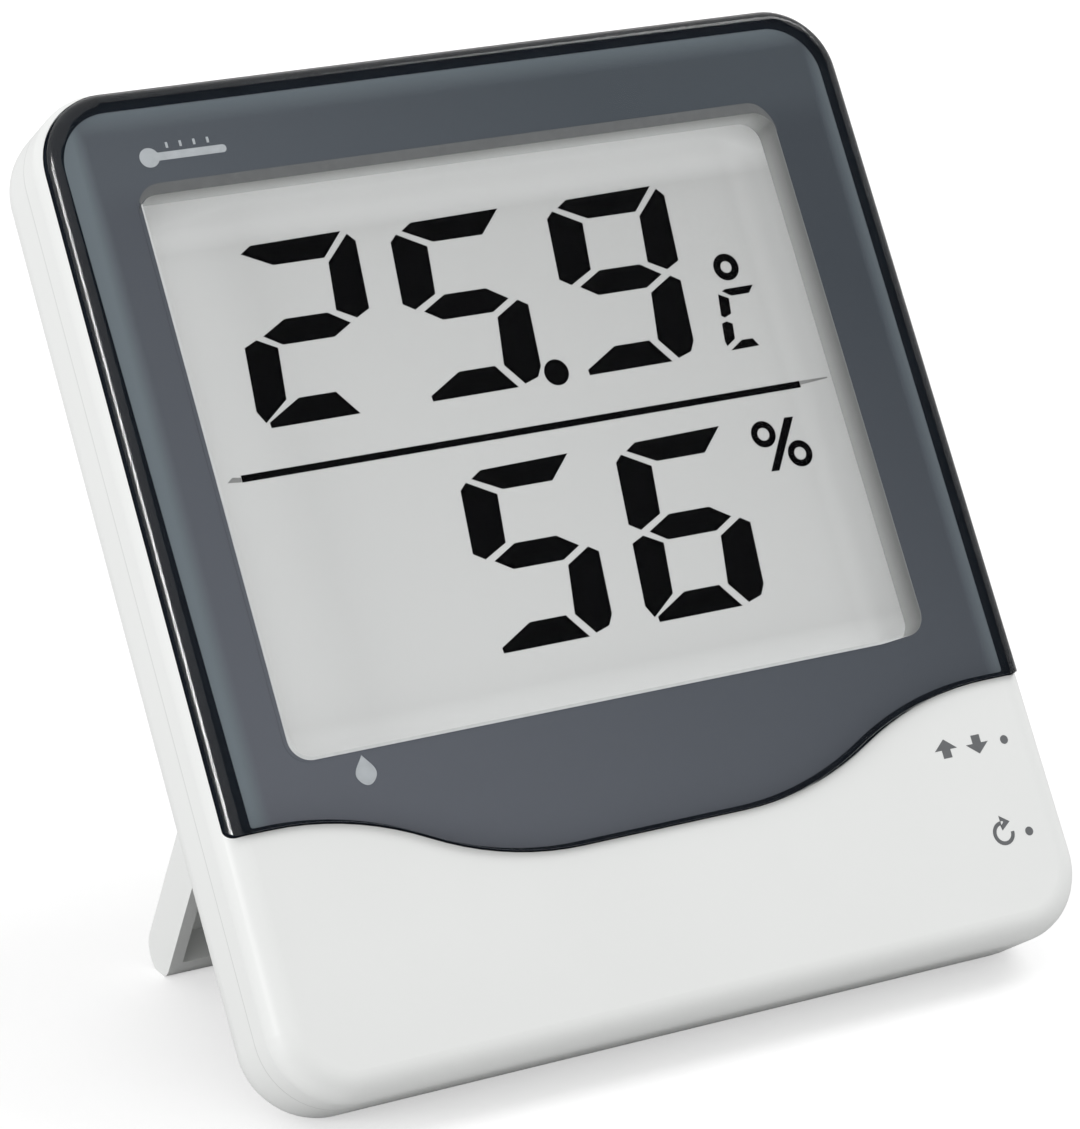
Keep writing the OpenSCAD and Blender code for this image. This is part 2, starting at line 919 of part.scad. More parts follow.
// Row of like chips on the main board
module chip_row(x, y, count, h) {
    for (i = [0 : count - 1])
        translate([x + i * chip_pitch, board_lo + y, board_rear])
            cube([chip_w, chip_l, h]);
}

module capacitors() {
    color([0.72, 0.6, 0.45])
        placed() {
            chip_row(-18, 24, 2, capacitor_h);
            chip_row(crystal_x - 2 * chip_pitch, 24, 3, capacitor_h);
        }
}

module resistors() {
    color(black_col)
        placed() {
            chip_row(-18, 8, 3, resistor_h);
            chip_row(crystal_x + 3 * chip_pitch, 8, 3, resistor_h);
        }
}

module humidity_sensor() {
    color([0.9, 0.9, 0.88])
        placed()
        translate([vent_x - humidity_w, keyhole_y - humidity_l / 2, board_rear])
        cube([humidity_w, humidity_l, humidity_h]);
}

module temperature_sensor() {
    color(black_col)
        placed()
        translate([vent_x + humidity_w, keyhole_y, board_rear])
        cylinder(r = bead_r, h = bead_h);
}

module unit_switch_body() {
    g = slide_gap;
    color(metal_col)
        placed()
        difference() {
            translate([-unit_x - unit_w / 2, unit_y - unit_l / 2, board_rear])
                cube([unit_w, unit_l, unit_depth]);
            translate([-unit_x - knob_w / 2 - g,
                unit_y - knob_l / 2 - unit_travel / 2 - g, knob_z0 - g])
                cube([knob_w + 2 * g, knob_l + unit_travel + 2 * g, far]);
        }
}

module unit_switch_knob() {
    color(black_col)
        placed()
        translate([-unit_x - knob_w / 2, unit_y - knob_l / 2 - unit_travel / 2,
            knob_z0])
        cube([knob_w, knob_l, knob_z1 - knob_z0]);
}

module button_board() {
    color(board_col)
        placed()
        difference() {
            translate([button_board_x1 - button_board_w, button_board_lo,
                button_board_z])
                cube([button_board_w, button_board_hi - button_board_lo,
                    button_board_t]);
            for (y = stake_ys)
                bore(stake_x, y, stake_r + pin_gap, 0, rear_z);
        }
}

module tact_switches() {
    color(metal_col)
        placed()
        for (y = button_ys)
            difference() {
                translate([switch_x0, y - switch_l / 2, button_board_z - switch_w])
                    cube([switch_x1 - switch_x0, switch_l, switch_w]);
                translate([switch_x1 - button_travel - 1.2, y, button_z])
                    rotate([0, 90, 0])
                    cylinder(r = plunger_r + 0.15, h = far);
            }
}

module plunger(y) {
    color(black_col)
        placed()
        translate([switch_x1 - 1, y, button_z])
        rotate([0, 90, 0])
        cylinder(r = plunger_r, h = plunger_x1 - switch_x1 + 1);
}

module max_min_plunger() {
    plunger(upper_button_y);
}

module reset_plunger() {
    plunger(lower_button_y);
}

// Button with its flange behind the wall
module side_button(y) {
    color(case_col)
        placed()
        translate([0, y, button_z])
        rotate([0, 90, 0]) {
            translate([0, 0, plunger_x1])
                linear_extrude(half_w + button_proud - plunger_x1)
                stadium(button_w, button_l);
            translate([0, 0, flange_x0])
                linear_extrude(flange_t)
                stadium(button_w + 2 * flange_rim, button_l + 2 * flange_rim);
        }
}

module max_min_button() {
    side_button(upper_button_y);
}

module reset_button() {
    side_button(lower_button_y);
}

// Round wire along a list of points
module wire(points, r) {
    for (i = [0 : len(points) - 1])
        translate(points[i])
            sphere(r);
    for (i = [1 : len(points) - 1]) {
        d = points[i] - points[i - 1];
        translate(points[i - 1])
            rotate([0, acos(d[2] / norm(d)), atan2(d[1], d[0])])
            cylinder(r = r, h = norm(d));
    }
}

module button_ribbon() {
    x = button_board_x1 - 0.8 - ribbon_w;
    z = button_board_z + button_board_t;
    color([0.6, 0.6, 0.6])
        placed() {
            translate([x, button_board_hi - ribbon_end, z])
                cube([ribbon_w, board_lo + 2 * ribbon_end - button_board_hi, ribbon_t]);
            translate([x, board_lo, z])
                cube([ribbon_w, ribbon_end, board_z - z]);
        }
}

// Leads from the tabs of the battery contacts to the main board
module battery_leads() {
    r = lead_r;
    x = -inner_w + lead_inset;
    y = board_lo + lead_inset;
    end_z = board_z - r;
    low_y = bay_lo - bay_wall - 2 * r;
    color([0.75, 0.15, 0.12])
        placed() {
            wire([[-bay_out - r, tab_y, tab_z + plate_t + r],
                [x, tab_y, tab_z + plate_t + r], [x, y, tab_z + plate_t + r],
                [x, y, end_z]], r);
            wire([[bay_out + r, tab_y, tab_z + plate_t + r],
                [bay_out + 3 * r, tab_y, tab_z + plate_t + r],
                [bay_out + 3 * r, low_y, tab_z + plate_t + r],
                [bay_out + 3 * r, low_y, lead_z], [x + 3 * r, low_y, lead_z],
                [x + 3 * r, y, lead_z], [x + 3 * r, y, end_z]], r);
        }
}

module battery() {
    color([0.2, 0.35, 0.6])
        placed()
        translate([0, cell_y, cell_z])
        rotate([0, 90, 0]) {
            translate([0, 0, cell_x0])
                cylinder(r = cell_r, h = cell_l - nub_l);
            translate([0, 0, cell_x1 - nub_l - small])
                cylinder(r = nub_r, h = nub_l + small);
        }
}

// Sheet contact against one end of the bay, with its tab through the wall
module contact(s) {
    translate([s > 0 ? bay_half - plate_t : -bay_half, cell_y - contact_w / 2,
        cell_z - contact_h / 2])
        cube([plate_t, contact_w, contact_h]);
    translate([s > 0 ? bay_half - plate_t : -bay_out - 2 * lead_r, tab_y - tab_w / 2,
        tab_z])
        cube([bay_end + plate_t + 2 * lead_r, tab_w, plate_t]);
}

// Conical spring of round wire on its contact
module battery_spring() {
    turns = 4;
    steps = 16;
    sink = 0.8;
    rise = spring_l - (1 + sink) * spring_wire;
    points = [for (i = [0 : turns * steps])
        let (a = i * 360 / steps, f = i / (turns * steps),
            q = spring_r0 + (spring_r1 - spring_r0) * f)
        [q * cos(a), q * sin(a), sink * spring_wire + rise * f]];
    color(metal_col)
        placed() {
            contact(-1);
            translate([plate_t - bay_half, cell_y, cell_z])
                rotate([0, 90, 0])
                tube(points, spring_wire);
        }
}

// Tube of round section swept along points that climb in z
module tube(points, r) {
    sides = 8;
    count = len(points);
    function along(i) = let (a = points[max(i - 1, 0)], b = points[min(i + 1, count - 1)])
        (b - a) / norm(b - a);
    function ring(i) = let (t = along(i), s = cross(t, [0, 0, 1]), u = s / norm(s),
        v = cross(u, t))
        [for (k = [0 : sides - 1])
            points[i] + r * (cos(k * 360 / sides) * u + sin(k * 360 / sides) * v)];
    verts = [for (i = [0 : count - 1]) each ring(i)];
    walls = [for (i = [0 : count - 2], k = [0 : sides - 1])
        let (a = i * sides + k, b = i * sides + (k + 1) % sides)
        each [[a, b, b + sides], [a, b + sides, a + sides]]];
    first = [for (k = [1 : sides - 2]) [0, k + 1, k]];
    last = (count - 1) * sides;
    final = [for (k = [1 : sides - 2]) [last, last + k, last + k + 1]];
    polyhedron(points = verts, faces = concat(walls, first, final));
}

module battery_contact() {
    color(metal_col)
        placed()
        contact(1);
}

module battery_door() {
    drop_z = door_z - hook_drop;
    color(case_col)
        placed() {
            difference() {
                translate([-bay_out, door_lo, door_z])
                    cube([2 * bay_out, door_hi - door_lo, door_t]);
                for (i = [-2 : 2])
                    translate([-6, door_lo + 3 + i * 0.9, door_z + door_t - 0.3])
                        cube([12, 0.45, over]);
            }
            for (s = [-1, 1], y = hook_ys)
                translate([s * hook_x, y, 0]) {
                    translate([-hook_neck / 2, 0, drop_z - small])
                        cube([hook_neck, hook_l, hook_drop + 2 * small]);
                    translate([-hook_foot / 2, 0, drop_z - hook_t])
                        cube([hook_foot, hook_l, hook_t]);
                }
        }
}

// Side view of the folded leg
module leg_section() {
    translate([hinge_y, hinge_z])
        circle(leg_r);
    translate([foot_y, hinge_z])
        circle(leg_r);
    translate([foot_y, hinge_z - leg_r])
        square([leg_l, leg_t]);
}

module stand_leg() {
    color(case_col)
        difference() {
            placed()
                translate([0, hinge_y, hinge_z])
                rotate([-leg_open, 0, 0])
                translate([0, -hinge_y, -hinge_z]) {
                    difference() {
                        across(leg_half)
                            leg_section();
                        translate([leg_side - leg_half, tray_lo, tray_z - far])
                            cube([leg_w - 2 * leg_side, tray_hi - tray_lo, far]);
                    }
                    for (s = [-1, 1])
                        translate([s * (leg_half - over), hinge_y, hinge_z])
                            rotate([0, s * 90, 0])
                            cylinder(r = pin_r, h = over + pin_l);
                }
            translate([-far / 2, -far / 2, -far])
                cube(far);
        }
}

// Pan-head screw with its seat at z
module screw(x, y, z, r, l, head, head_h) {
    translate([x, y, z - l])
        cylinder(r = r, h = l + small);
    translate([x, y, z])
        cylinder(r = head, h = head_h);
}

module case_screws() {
    color(metal_col)
        placed()
        for (s = [-1, 1]) {
            screw(s * upper_screw_x, upper_screw_y, upper_seat_z, screw_r, screw_l,
                screw_head_r, screw_head_h);
            screw(s * lower_screw_x, lower_screw_y, lower_seat_z, screw_r, screw_l,
                screw_head_r, screw_head_h);
        }
}

module board_screws() {
    color(metal_col)
        placed()
        for (s = [-1, 1], y = post_ys)
            screw(s * post_x, y, board_rear, board_screw_r, board_screw_l,
                board_head_r, board_head_h);
}

front_case();
rear_case();
front_lens();
lens_mask();
lcd_front_polarizer();
lcd_front_glass();
lcd_rear_glass();
lcd_rear_polarizer();
zebra_connector();
circuit_board();
chip_blob();
crystal();
capacitors();
resistors();
humidity_sensor();
temperature_sensor();
unit_switch_body();
unit_switch_knob();
button_board();
tact_switches();
max_min_plunger();
reset_plunger();
max_min_button();
reset_button();
button_ribbon();
battery_leads();
battery();
battery_spring();
battery_contact();
battery_door();
stand_leg();
case_screws();
board_screws();
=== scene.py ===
import json
from math import atan2, cos, degrees, radians, sin, tan

import bpy
from mathutils import Matrix, Vector


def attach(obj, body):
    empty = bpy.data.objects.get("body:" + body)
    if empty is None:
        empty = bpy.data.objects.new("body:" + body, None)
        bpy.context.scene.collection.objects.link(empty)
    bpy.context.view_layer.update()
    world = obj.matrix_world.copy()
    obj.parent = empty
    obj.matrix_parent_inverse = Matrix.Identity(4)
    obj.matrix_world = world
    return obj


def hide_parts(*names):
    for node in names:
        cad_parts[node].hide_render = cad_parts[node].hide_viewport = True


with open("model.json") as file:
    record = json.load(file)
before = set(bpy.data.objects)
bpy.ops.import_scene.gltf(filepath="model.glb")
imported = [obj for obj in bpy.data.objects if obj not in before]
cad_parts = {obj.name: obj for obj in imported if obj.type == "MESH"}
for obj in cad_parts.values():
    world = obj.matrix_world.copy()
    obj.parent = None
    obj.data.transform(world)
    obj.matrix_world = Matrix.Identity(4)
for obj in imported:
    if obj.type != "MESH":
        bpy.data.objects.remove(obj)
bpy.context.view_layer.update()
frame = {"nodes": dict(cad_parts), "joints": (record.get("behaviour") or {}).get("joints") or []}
nodes = frame["nodes"]
joints = {joint["name"]: joint for joint in frame["joints"]}
bpy.context.scene.view_settings.view_transform = "Standard"


# Housing: both shells, the battery door, the leg and the two buttons are moulded
# from one light grey plastic. Its matt surface comes from the mould's fine spark
# grain, and large walls vary a little in shade and gloss.
hinge_height = 0.0422
hinge_depth = 0.0138
up = -Vector(joints["door_slide"]["axis"])
back = Vector((0, up.z, -up.y))
corner = Vector(joints["leg_fold"]["pos_m"]) - hinge_height * up - hinge_depth * back

# Case coordinates run across the case, up its face from its foot and out of its
# front. Outlines use them in millimetres, and materials use them in metres.
case = Matrix((
    (0.001, 0, 0, 0),
    (0, 0.001 * up.y, -0.001 * back.y, corner.y),
    (0, 0.001 * up.z, -0.001 * back.z, corner.z),
    (0, 0, 0, 1)))
turn_to_case = atan2(up.z, up.y)


def link(tree, start, end):
    tree.links.new(start, end)


def finish(name):
    material = bpy.data.materials.new(name)
    material.use_nodes = True
    tree = material.node_tree
    return material, tree, tree.nodes["Principled BSDF"]


def object_place(tree):
    return tree.nodes.new("ShaderNodeTexCoord").outputs["Object"]


def case_place(tree):
    """A point in case coordinates, and its three parts."""
    turned = tree.nodes.new("ShaderNodeMapping")
    turned.vector_type = "TEXTURE"
    turned.inputs["Location"].default_value = corner
    turned.inputs["Rotation"].default_value = (turn_to_case, 0, 0)
    split = tree.nodes.new("ShaderNodeSeparateXYZ")
    link(tree, object_place(tree), turned.inputs["Vector"])
    link(tree, turned.outputs["Vector"], split.inputs["Vector"])
    return turned.outputs["Vector"], split.outputs


def blend(tree, share, first, second):
    """A colour that goes from the first to the second as share goes from 0 to 1."""
    mix = tree.nodes.new("ShaderNodeMix")
    mix.data_type = "RGBA"
    link(tree, share, mix.inputs["Factor"])
    for socket, colour in ((mix.inputs["A"], first), (mix.inputs["B"], second)):
        if isinstance(colour, tuple):
            socket.default_value = (*colour, 1)
        else:
            link(tree, colour, socket)
    return mix.outputs["Result"]


def ramp(tree, value, low, high, first, second):
    """A number or colour that goes from first to second as value goes from low to high."""
    mapped = tree.nodes.new("ShaderNodeMapRange")
    mapped.inputs["From Min"].default_value = low
    mapped.inputs["From Max"].default_value = high
    link(tree, value, mapped.inputs["Value"])
    if isinstance(first, (int, float)):
        mapped.inputs["To Min"].default_value = first
        mapped.inputs["To Max"].default_value = second
        return mapped.outputs["Result"]
    return blend(tree, mapped.outputs["Result"], first, second)


def calc(tree, how, first, second):
    step = tree.nodes.new("ShaderNodeMath")
    step.operation = how
    for socket, value in zip(step.inputs, (first, second)):
        if isinstance(value, (int, float)):
            socket.default_value = value
        else:
            link(tree, value, socket)
    return step.outputs["Value"]


def noise(tree, where, scale, detail=2.0):
    texture = tree.nodes.new("ShaderNodeTexNoise")
    texture.inputs["Scale"].default_value = scale
    texture.inputs["Detail"].default_value = detail
    link(tree, where, texture.inputs["Vector"])
    return texture.outputs["Fac"]


def grain_group():
    """Spark grain: a fine height, and slow changes of shade and gloss."""
    group = bpy.data.node_groups.new("mould_grain", "ShaderNodeTree")
    face = group.interface
    grain = face.new_socket("Grain", in_out="INPUT", socket_type="NodeSocketFloat")
    grain.default_value = 2600
    shade = face.new_socket("Shade", in_out="INPUT", socket_type="NodeSocketColor")
    shade.default_value = (0.8, 0.8, 0.8, 1)
    for name, kind in (("Colour", "NodeSocketColor"), ("Roughness", "NodeSocketFloat"),
                       ("Height", "NodeSocketFloat")):
        face.new_socket(name, in_out="OUTPUT", socket_type=kind)
    start = group.nodes.new("NodeGroupInput")
    end = group.nodes.new("NodeGroupOutput")
    where = object_place(group)
    fine = group.nodes.new("ShaderNodeTexNoise")
    fine.inputs["Detail"].default_value = 3
    link(group, where, fine.inputs["Vector"])
    link(group, start.outputs["Grain"], fine.inputs["Scale"])
    slow = noise(group, where, 38, 3)
    tone = group.nodes.new("ShaderNodeMix")
    tone.data_type = "RGBA"
    tone.blend_type = "MULTIPLY"
    tone.inputs["Factor"].default_value = 1
    link(group, start.outputs["Shade"], tone.inputs["A"])
    link(group, ramp(group, slow, 0.3, 0.7, 0.975, 1.0), tone.inputs["B"])
    link(group, tone.outputs["Result"], end.inputs["Colour"])
    link(group, ramp(group, slow, 0.25, 0.75, 0.42, 0.34), end.inputs["Roughness"])
    link(group, fine.outputs["Fac"], end.inputs["Height"])
    return group


mould_grain = grain_group()


def moulded(name, colour, grain=2600.0, depth=0.00001, strength=0.25):
    material, tree, skin = finish(name)
    skin.inputs["Specular IOR Level"].default_value = 0.3
    surface = tree.nodes.new("ShaderNodeGroup")
    surface.name = "grain"
    surface.node_tree = mould_grain
    surface.inputs["Grain"].default_value = grain
    surface.inputs["Shade"].default_value = (*colour, 1)
    bump = tree.nodes.new("ShaderNodeBump")
    bump.inputs["Strength"].default_value = strength
    bump.inputs["Distance"].default_value = depth
    link(tree, surface.outputs["Colour"], skin.inputs["Base Color"])
    link(tree, surface.outputs["Roughness"], skin.inputs["Roughness"])
    link(tree, surface.outputs["Height"], bump.inputs["Height"])
    link(tree, bump.outputs["Normal"], skin.inputs["Normal"])
    return material


def dress(name, material):
    mesh = nodes[name].data
    mesh.materials.clear()
    mesh.materials.append(material)


light = (0.80, 0.81, 0.80)
light_plastic = moulded("case_plastic", light)
for name in ("stand_leg", "battery_door", "max_min_button", "reset_button"):
    dress(name, light_plastic)

# The two shells meet at a fine shadow line.
parting_depth = 0.0065
line_core = 0.00004
line_edge = 0.00012
line_shade = (0.62, 0.63, 0.62)


def dress_shell(name, node):
    material = moulded(name, light)
    tree = material.node_tree
    axes = case_place(tree)[1]
    off_line = calc(tree, "ABSOLUTE", calc(tree, "ADD", axes["Z"], parting_depth), 0)
    tone = ramp(tree, off_line, line_core, line_edge, line_shade, light)
    link(tree, tone, tree.nodes["grain"].inputs["Shade"])
    dress(node, material)
    return tree, axes, tone


dress_shell("rear_shell_plastic", "rear_case")

# The wall of the window, between the lens and the display, carries painted shade: it is
# painted greyer than the rest of the front shell and darkest at the lens. Its upper side,
# which faces away from the light, is painted paler than the others, as painted light.
wall_half = 0.0398
wall_foot = 0.0354
wall_top = 0.0988
wall_deep = -0.0055
wall_shallow = -0.0028
tree, axes, tone = dress_shell("front_shell_plastic", "front_case")
from_middle = calc(tree, "ABSOLUTE", axes["X"], 0)
wall_shade_mask = ramp(tree, from_middle, wall_half, wall_half + 0.0001, 1.0, 0.0)
for inside in (ramp(tree, axes["Y"], wall_foot, wall_foot + 0.0001, 0.0, 1.0),
               ramp(tree, axes["Y"], wall_top, wall_top + 0.0001, 1.0, 0.0),
               ramp(tree, axes["Z"], -0.0024, -0.0022, 1.0, 0.0)):
    wall_shade_mask = calc(tree, "MULTIPLY", wall_shade_mask, inside)
# Painted shade on the window's wall, darkest at the lens, and a paler painted tone on its upper
# side.
painted_wall_shade = ramp(tree, axes["Z"], wall_deep, wall_shallow, (0.33, 0.333, 0.33),
            (0.16, 0.163, 0.162))
upper_wall_painted_light = ramp(tree, axes["Z"], wall_deep, wall_shallow, (0.68, 0.685, 0.68),
                  (0.37, 0.375, 0.37))
painted_wall_shade = blend(tree, ramp(tree, axes["Y"], 0.0970, 0.0984, 0.0, 1.0), painted_wall_shade, upper_wall_painted_light)
link(tree, blend(tree, wall_shade_mask, tone, painted_wall_shade), tree.nodes["grain"].inputs["Shade"])


# Lens: a clear acrylic cover, rounded at its sides and top, whose lower edge is
# polished to a small round along the wave. Its edge is inked black, so that the
# light shell doesn't shine into it.
def pick(piece):
    bpy.ops.object.select_all(action="DESELECT")
    piece.select_set(True)
    bpy.context.view_layer.objects.active = piece


def case_copy(name, node):
    """A merged copy of a CAD node, laid flat in case coordinates."""
    copy = nodes[node].copy()
    copy.data = nodes[node].data.copy()
    copy.name = name
    copy.data.name = name
    for key in list(copy.keys()):
        del copy[key]
    copy.parent = None
    bpy.context.collection.objects.link(copy)
    copy.data.transform(case.inverted())
    pick(copy)
    bpy.ops.object.mode_set(mode="EDIT")
    bpy.ops.mesh.select_all(action="SELECT")
    bpy.ops.mesh.customdata_custom_splitnormals_clear()
    bpy.ops.mesh.remove_doubles(threshold=0.002)
    bpy.ops.mesh.dissolve_limited(angle_limit=radians(1))
    bpy.ops.object.mode_set(mode="OBJECT")
    return copy


def set_down(piece, material, body="housing"):
    """Puts a piece made in case coordinates in its place and lets it ride on a body."""
    pick(piece)
    piece.matrix_world = case @ piece.matrix_world
    bpy.ops.object.transform_apply(location=True, rotation=True, scale=True)
    if material is not None:
        piece.data.materials.clear()
        piece.data.materials.append(material)
    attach(piece, body)
    return piece


sharp_edge = radians(35)
wave_round = 0.45
above_back = -2.1
below_sides = 31
lens = case_copy("lens", "front_lens")
edges = lens.data.edges
polygons = lens.data.polygons
points = lens.data.vertices
sides = {}
for polygon in polygons:
    for key in polygon.edge_keys:
        sides.setdefault(key, []).append(polygon.normal)
for item in (*points, *edges, *polygons):
    item.select = False
for edge in edges:
    around = sides[edge.key]
    ends = [points[i].co for i in edge.vertices]
    if len(around) == 2 and around[0].angle(around[1]) > sharp_edge:
        edge.select = (min(end.z for end in ends) > above_back
                       and max(end.y for end in ends) < below_sides)
bpy.ops.object.mode_set(mode="EDIT")
bpy.ops.mesh.select_mode(type="EDGE")
bpy.ops.mesh.bevel(offset=wave_round, segments=5, profile=0.5, clamp_overlap=True)
bpy.ops.object.mode_set(mode="OBJECT")

# The lens's back is drawn in a little, which leaves room for the prints behind it.
back_face = -2.19
print_room = -2.16
for point in lens.data.vertices:
    if point.co.z < back_face:
        point.co.z = print_room


def uneven_gloss(tree, where, scale, detail, glossy, dull, high=0.7):
    """Roughness that wanders between two values over the piece."""
    patches = ramp(tree, noise(tree, where, scale, detail), 0.3, high, glossy, dull)
    link(tree, patches, tree.nodes["Principled BSDF"].inputs["Roughness"])


def acrylic(name, bend, glossy, dull):
    """Clear acrylic that lets the light of the lamps through to what lies behind."""
    material, tree, clear = finish(name)
    clear.inputs["Base Color"].default_value = (0.97, 0.985, 0.985, 1)
    clear.inputs["Transmission Weight"].default_value = 1
    clear.inputs["IOR"].default_value = bend
    uneven_gloss(tree, object_place(tree), 60, 4, glossy, dull, 0.8)
    path = tree.nodes.new("ShaderNodeLightPath")
    open_to_light = tree.nodes.new("ShaderNodeBsdfTransparent")
    either = tree.nodes.new("ShaderNodeMixShader")
    link(tree, calc(tree, "MAXIMUM", path.outputs["Is Shadow Ray"],
                    path.outputs["Is Diffuse Ray"]), either.inputs[0])
    link(tree, clear.outputs["BSDF"], either.inputs[1])
    link(tree, open_to_light.outputs["BSDF"], either.inputs[2])
    link(tree, either.outputs["Shader"],
         tree.nodes["Material Output"].inputs["Surface"])
    return material


edge_ink, tree, ink = finish("edge_ink")
ink.inputs["Specular IOR Level"].default_value = 0
where = object_place(tree)
link(tree, ramp(tree, noise(tree, where, 300, 3), 0.3, 0.7, (0.008, 0.010, 0.014),
                (0.010, 0.013, 0.018)), ink.inputs["Base Color"])
uneven_gloss(tree, where, 90, 3, 0.22, 0.32)

# Faces of the lens: its level ones are clear, its rounds are a little softer, and its
# upright ones carry the ink.
lens.data.materials.clear()
for material in (acrylic("lens_acrylic", 1.09, 0.004, 0.012),
                 acrylic("lens_edge_acrylic", 1.36, 0.12, 0.15), edge_ink):
    lens.data.materials.append(material)
for polygon in lens.data.polygons:
    level = abs(polygon.normal.z)
    polygon.material_index = 2 if level < 0.1 else 1 if level < 0.999 else 0
set_down(lens, None)
bpy.ops.object.shade_smooth_by_angle(angle=radians(32))
even = lens.modifiers.new("even", "WEIGHTED_NORMAL")
even.keep_sharp = True
bpy.ops.object.modifier_apply(modifier="even")
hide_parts("front_lens")


# Prints behind the lens: a black line follows the lens's outline, and a thermometer
# and a drop stand over and under the display for its two readings. They are silk
# screened on the back of the lens.
quarter = 0.5523
print_depth = 2.17


def flat(name, loops, front, smooth=10):
    """A thin print at a depth behind the front. A loop's points are (x, y), a corner,
    or (x, y, heading in degrees, handle before, handle after) on a smooth outline."""
    thick = 0.02
    outline = bpy.data.curves.new(name, "CURVE")
    outline.dimensions = "2D"
    outline.fill_mode = "BOTH"
    outline.resolution_u = smooth
    outline.extrude = thick / 2
    for loop in loops:
        spline = outline.splines.new("BEZIER")
        spline.bezier_points.add(len(loop) - 1)
        spline.use_cyclic_u = True
        for point, knot in zip(spline.bezier_points, loop):
            place = Vector((knot[0], knot[1], 0))
            point.co = place
            if len(knot) == 2:
                point.handle_left_type = point.handle_right_type = "VECTOR"
            else:
                aim = Vector((cos(radians(knot[2])), sin(radians(knot[2])), 0))
                point.handle_left_type = point.handle_right_type = "FREE"
                point.handle_left = place - aim * knot[3]
                point.handle_right = place + aim * knot[4]
    piece = bpy.data.objects.new(name, outline)
    bpy.context.collection.objects.link(piece)
    pick(piece)
    piece.location.z = thick / 2 - front - thick
    bpy.ops.object.convert(target="MESH")
    bpy.ops.object.mode_set(mode="EDIT")
    bpy.ops.mesh.select_all(action="SELECT")
    bpy.ops.mesh.remove_doubles(threshold=0.0005)
    bpy.ops.mesh.normals_make_consistent(inside=False)
    bpy.ops.object.mode_set(mode="OBJECT")
    return piece


lens_half = 48.8
lens_top = 109.9
lens_corner = 7.8
wave_out, wave_in = 44, 10
wave_high, wave_low = 29.1, 20.65
wave_radius = 36.31


def lens_loop(left, foot, right, above, inset, end_corner):
    """The lens's outline, moved inwards at the left's top and foot, at the right, at
    the top and along the wave, whose two arcs on each side meet at a tangent."""
    left, foot, right = lens_half - left, lens_half - foot, lens_half - right
    top, r = lens_top - above, lens_corner - above
    high, low = wave_high + inset, wave_low + inset
    slope = 2 * atan2(wave_high - wave_low, wave_out - wave_in)
    reach = 4 / 3 * tan(slope / 4)
    wide, tight = reach * (wave_radius + inset), reach * (wave_radius - inset)
    x = (wave_out + wave_in) / 2 - inset * sin(slope)
    y = (wave_high + wave_low) / 2 + inset * cos(slope)
    a, k, c, q = degrees(slope), quarter * r, end_corner, quarter * end_corner
    return [
        (-foot, high + c, -90, q, q), (-foot + c, high, 0, q, q),
        (-wave_out, high, 0, q, wide), (-x, y, -a, wide, tight),
        (-wave_in, low, 0, tight, tight), (wave_in, low, 0, tight, tight),
        (x, y, a, tight, wide), (wave_out, high, 0, wide, q),
        (right - c, high, 0, q, q), (right, high + c, 90, q, q),
        (right, top - r, 90, k, k), (right - r, top, 180, k, k),
        (r - left, top, 180, k, k), (-left, top - r, -90, k, k)]


def ring(x, y, r):
    k = quarter * r
    return [(x + r, y, 90, k, k), (x, y + r, 180, k, k), (x - r, y, 270, k, k),
            (x, y - r, 0, k, k)]


def print_ink(name, colour, gloss=0.4, shine=0.0):
    material, tree, skin = finish(name)
    skin.inputs["Specular IOR Level"].default_value = shine
    where = object_place(tree)
    thin = tuple(c * 1.12 for c in colour)
    link(tree, ramp(tree, noise(tree, where, 900, 3), 0.35, 0.7, colour, thin),
         skin.inputs["Base Color"])
    uneven_gloss(tree, where, 200, 2, gloss, gloss + 0.12)
    return material


border = flat("lens_border_print", [lens_loop(0.05, 0.05, 0.05, 0.05, 0.05, 0.95),
                                    lens_loop(2.3, 3.2, 1.4, 1.8, 0.68, 0.3)],
              print_depth, smooth=16)
set_down(border, edge_ink)

pale_ink = print_ink("pale_ink", (0.42, 0.44, 0.46))
thermometer = flat("thermometer_print", [
    [(-35.75, 102.95), (-35.75, 103.0, 125, 0.1, 0.35), (-36.8, 103.6, 180, 0.55, 0.6),
     (-37.9, 102.5, 270, 0.6, 0.6), (-36.8, 101.4, 0, 0.6, 0.55),
     (-35.75, 102.0, 55, 0.35, 0.1), (-35.75, 102.05),
     (-28.2, 102.05, 0, 1, 0.25), (-27.75, 102.5, 90, 0.25, 0.25),
     (-28.2, 102.95, 180, 0.25, 1)],
    *[[(x, 103.35), (x + 0.28, 103.35), (x + 0.28, 104.0), (x, 104.0)]
      for x in (-34.6, -33.0, -31.4, -29.8)],
], print_depth)
set_down(thermometer, pale_ink)
drop = flat("drop_print", [
    [(-31.4, 35.0), (-30.2, 33.0, 270, 0.7, 0.5), (-31.4, 31.75, 180, 0.6, 0.6),
     (-32.6, 33.0, 90, 0.5, 0.7)],
], print_depth)
set_down(drop, pale_ink)
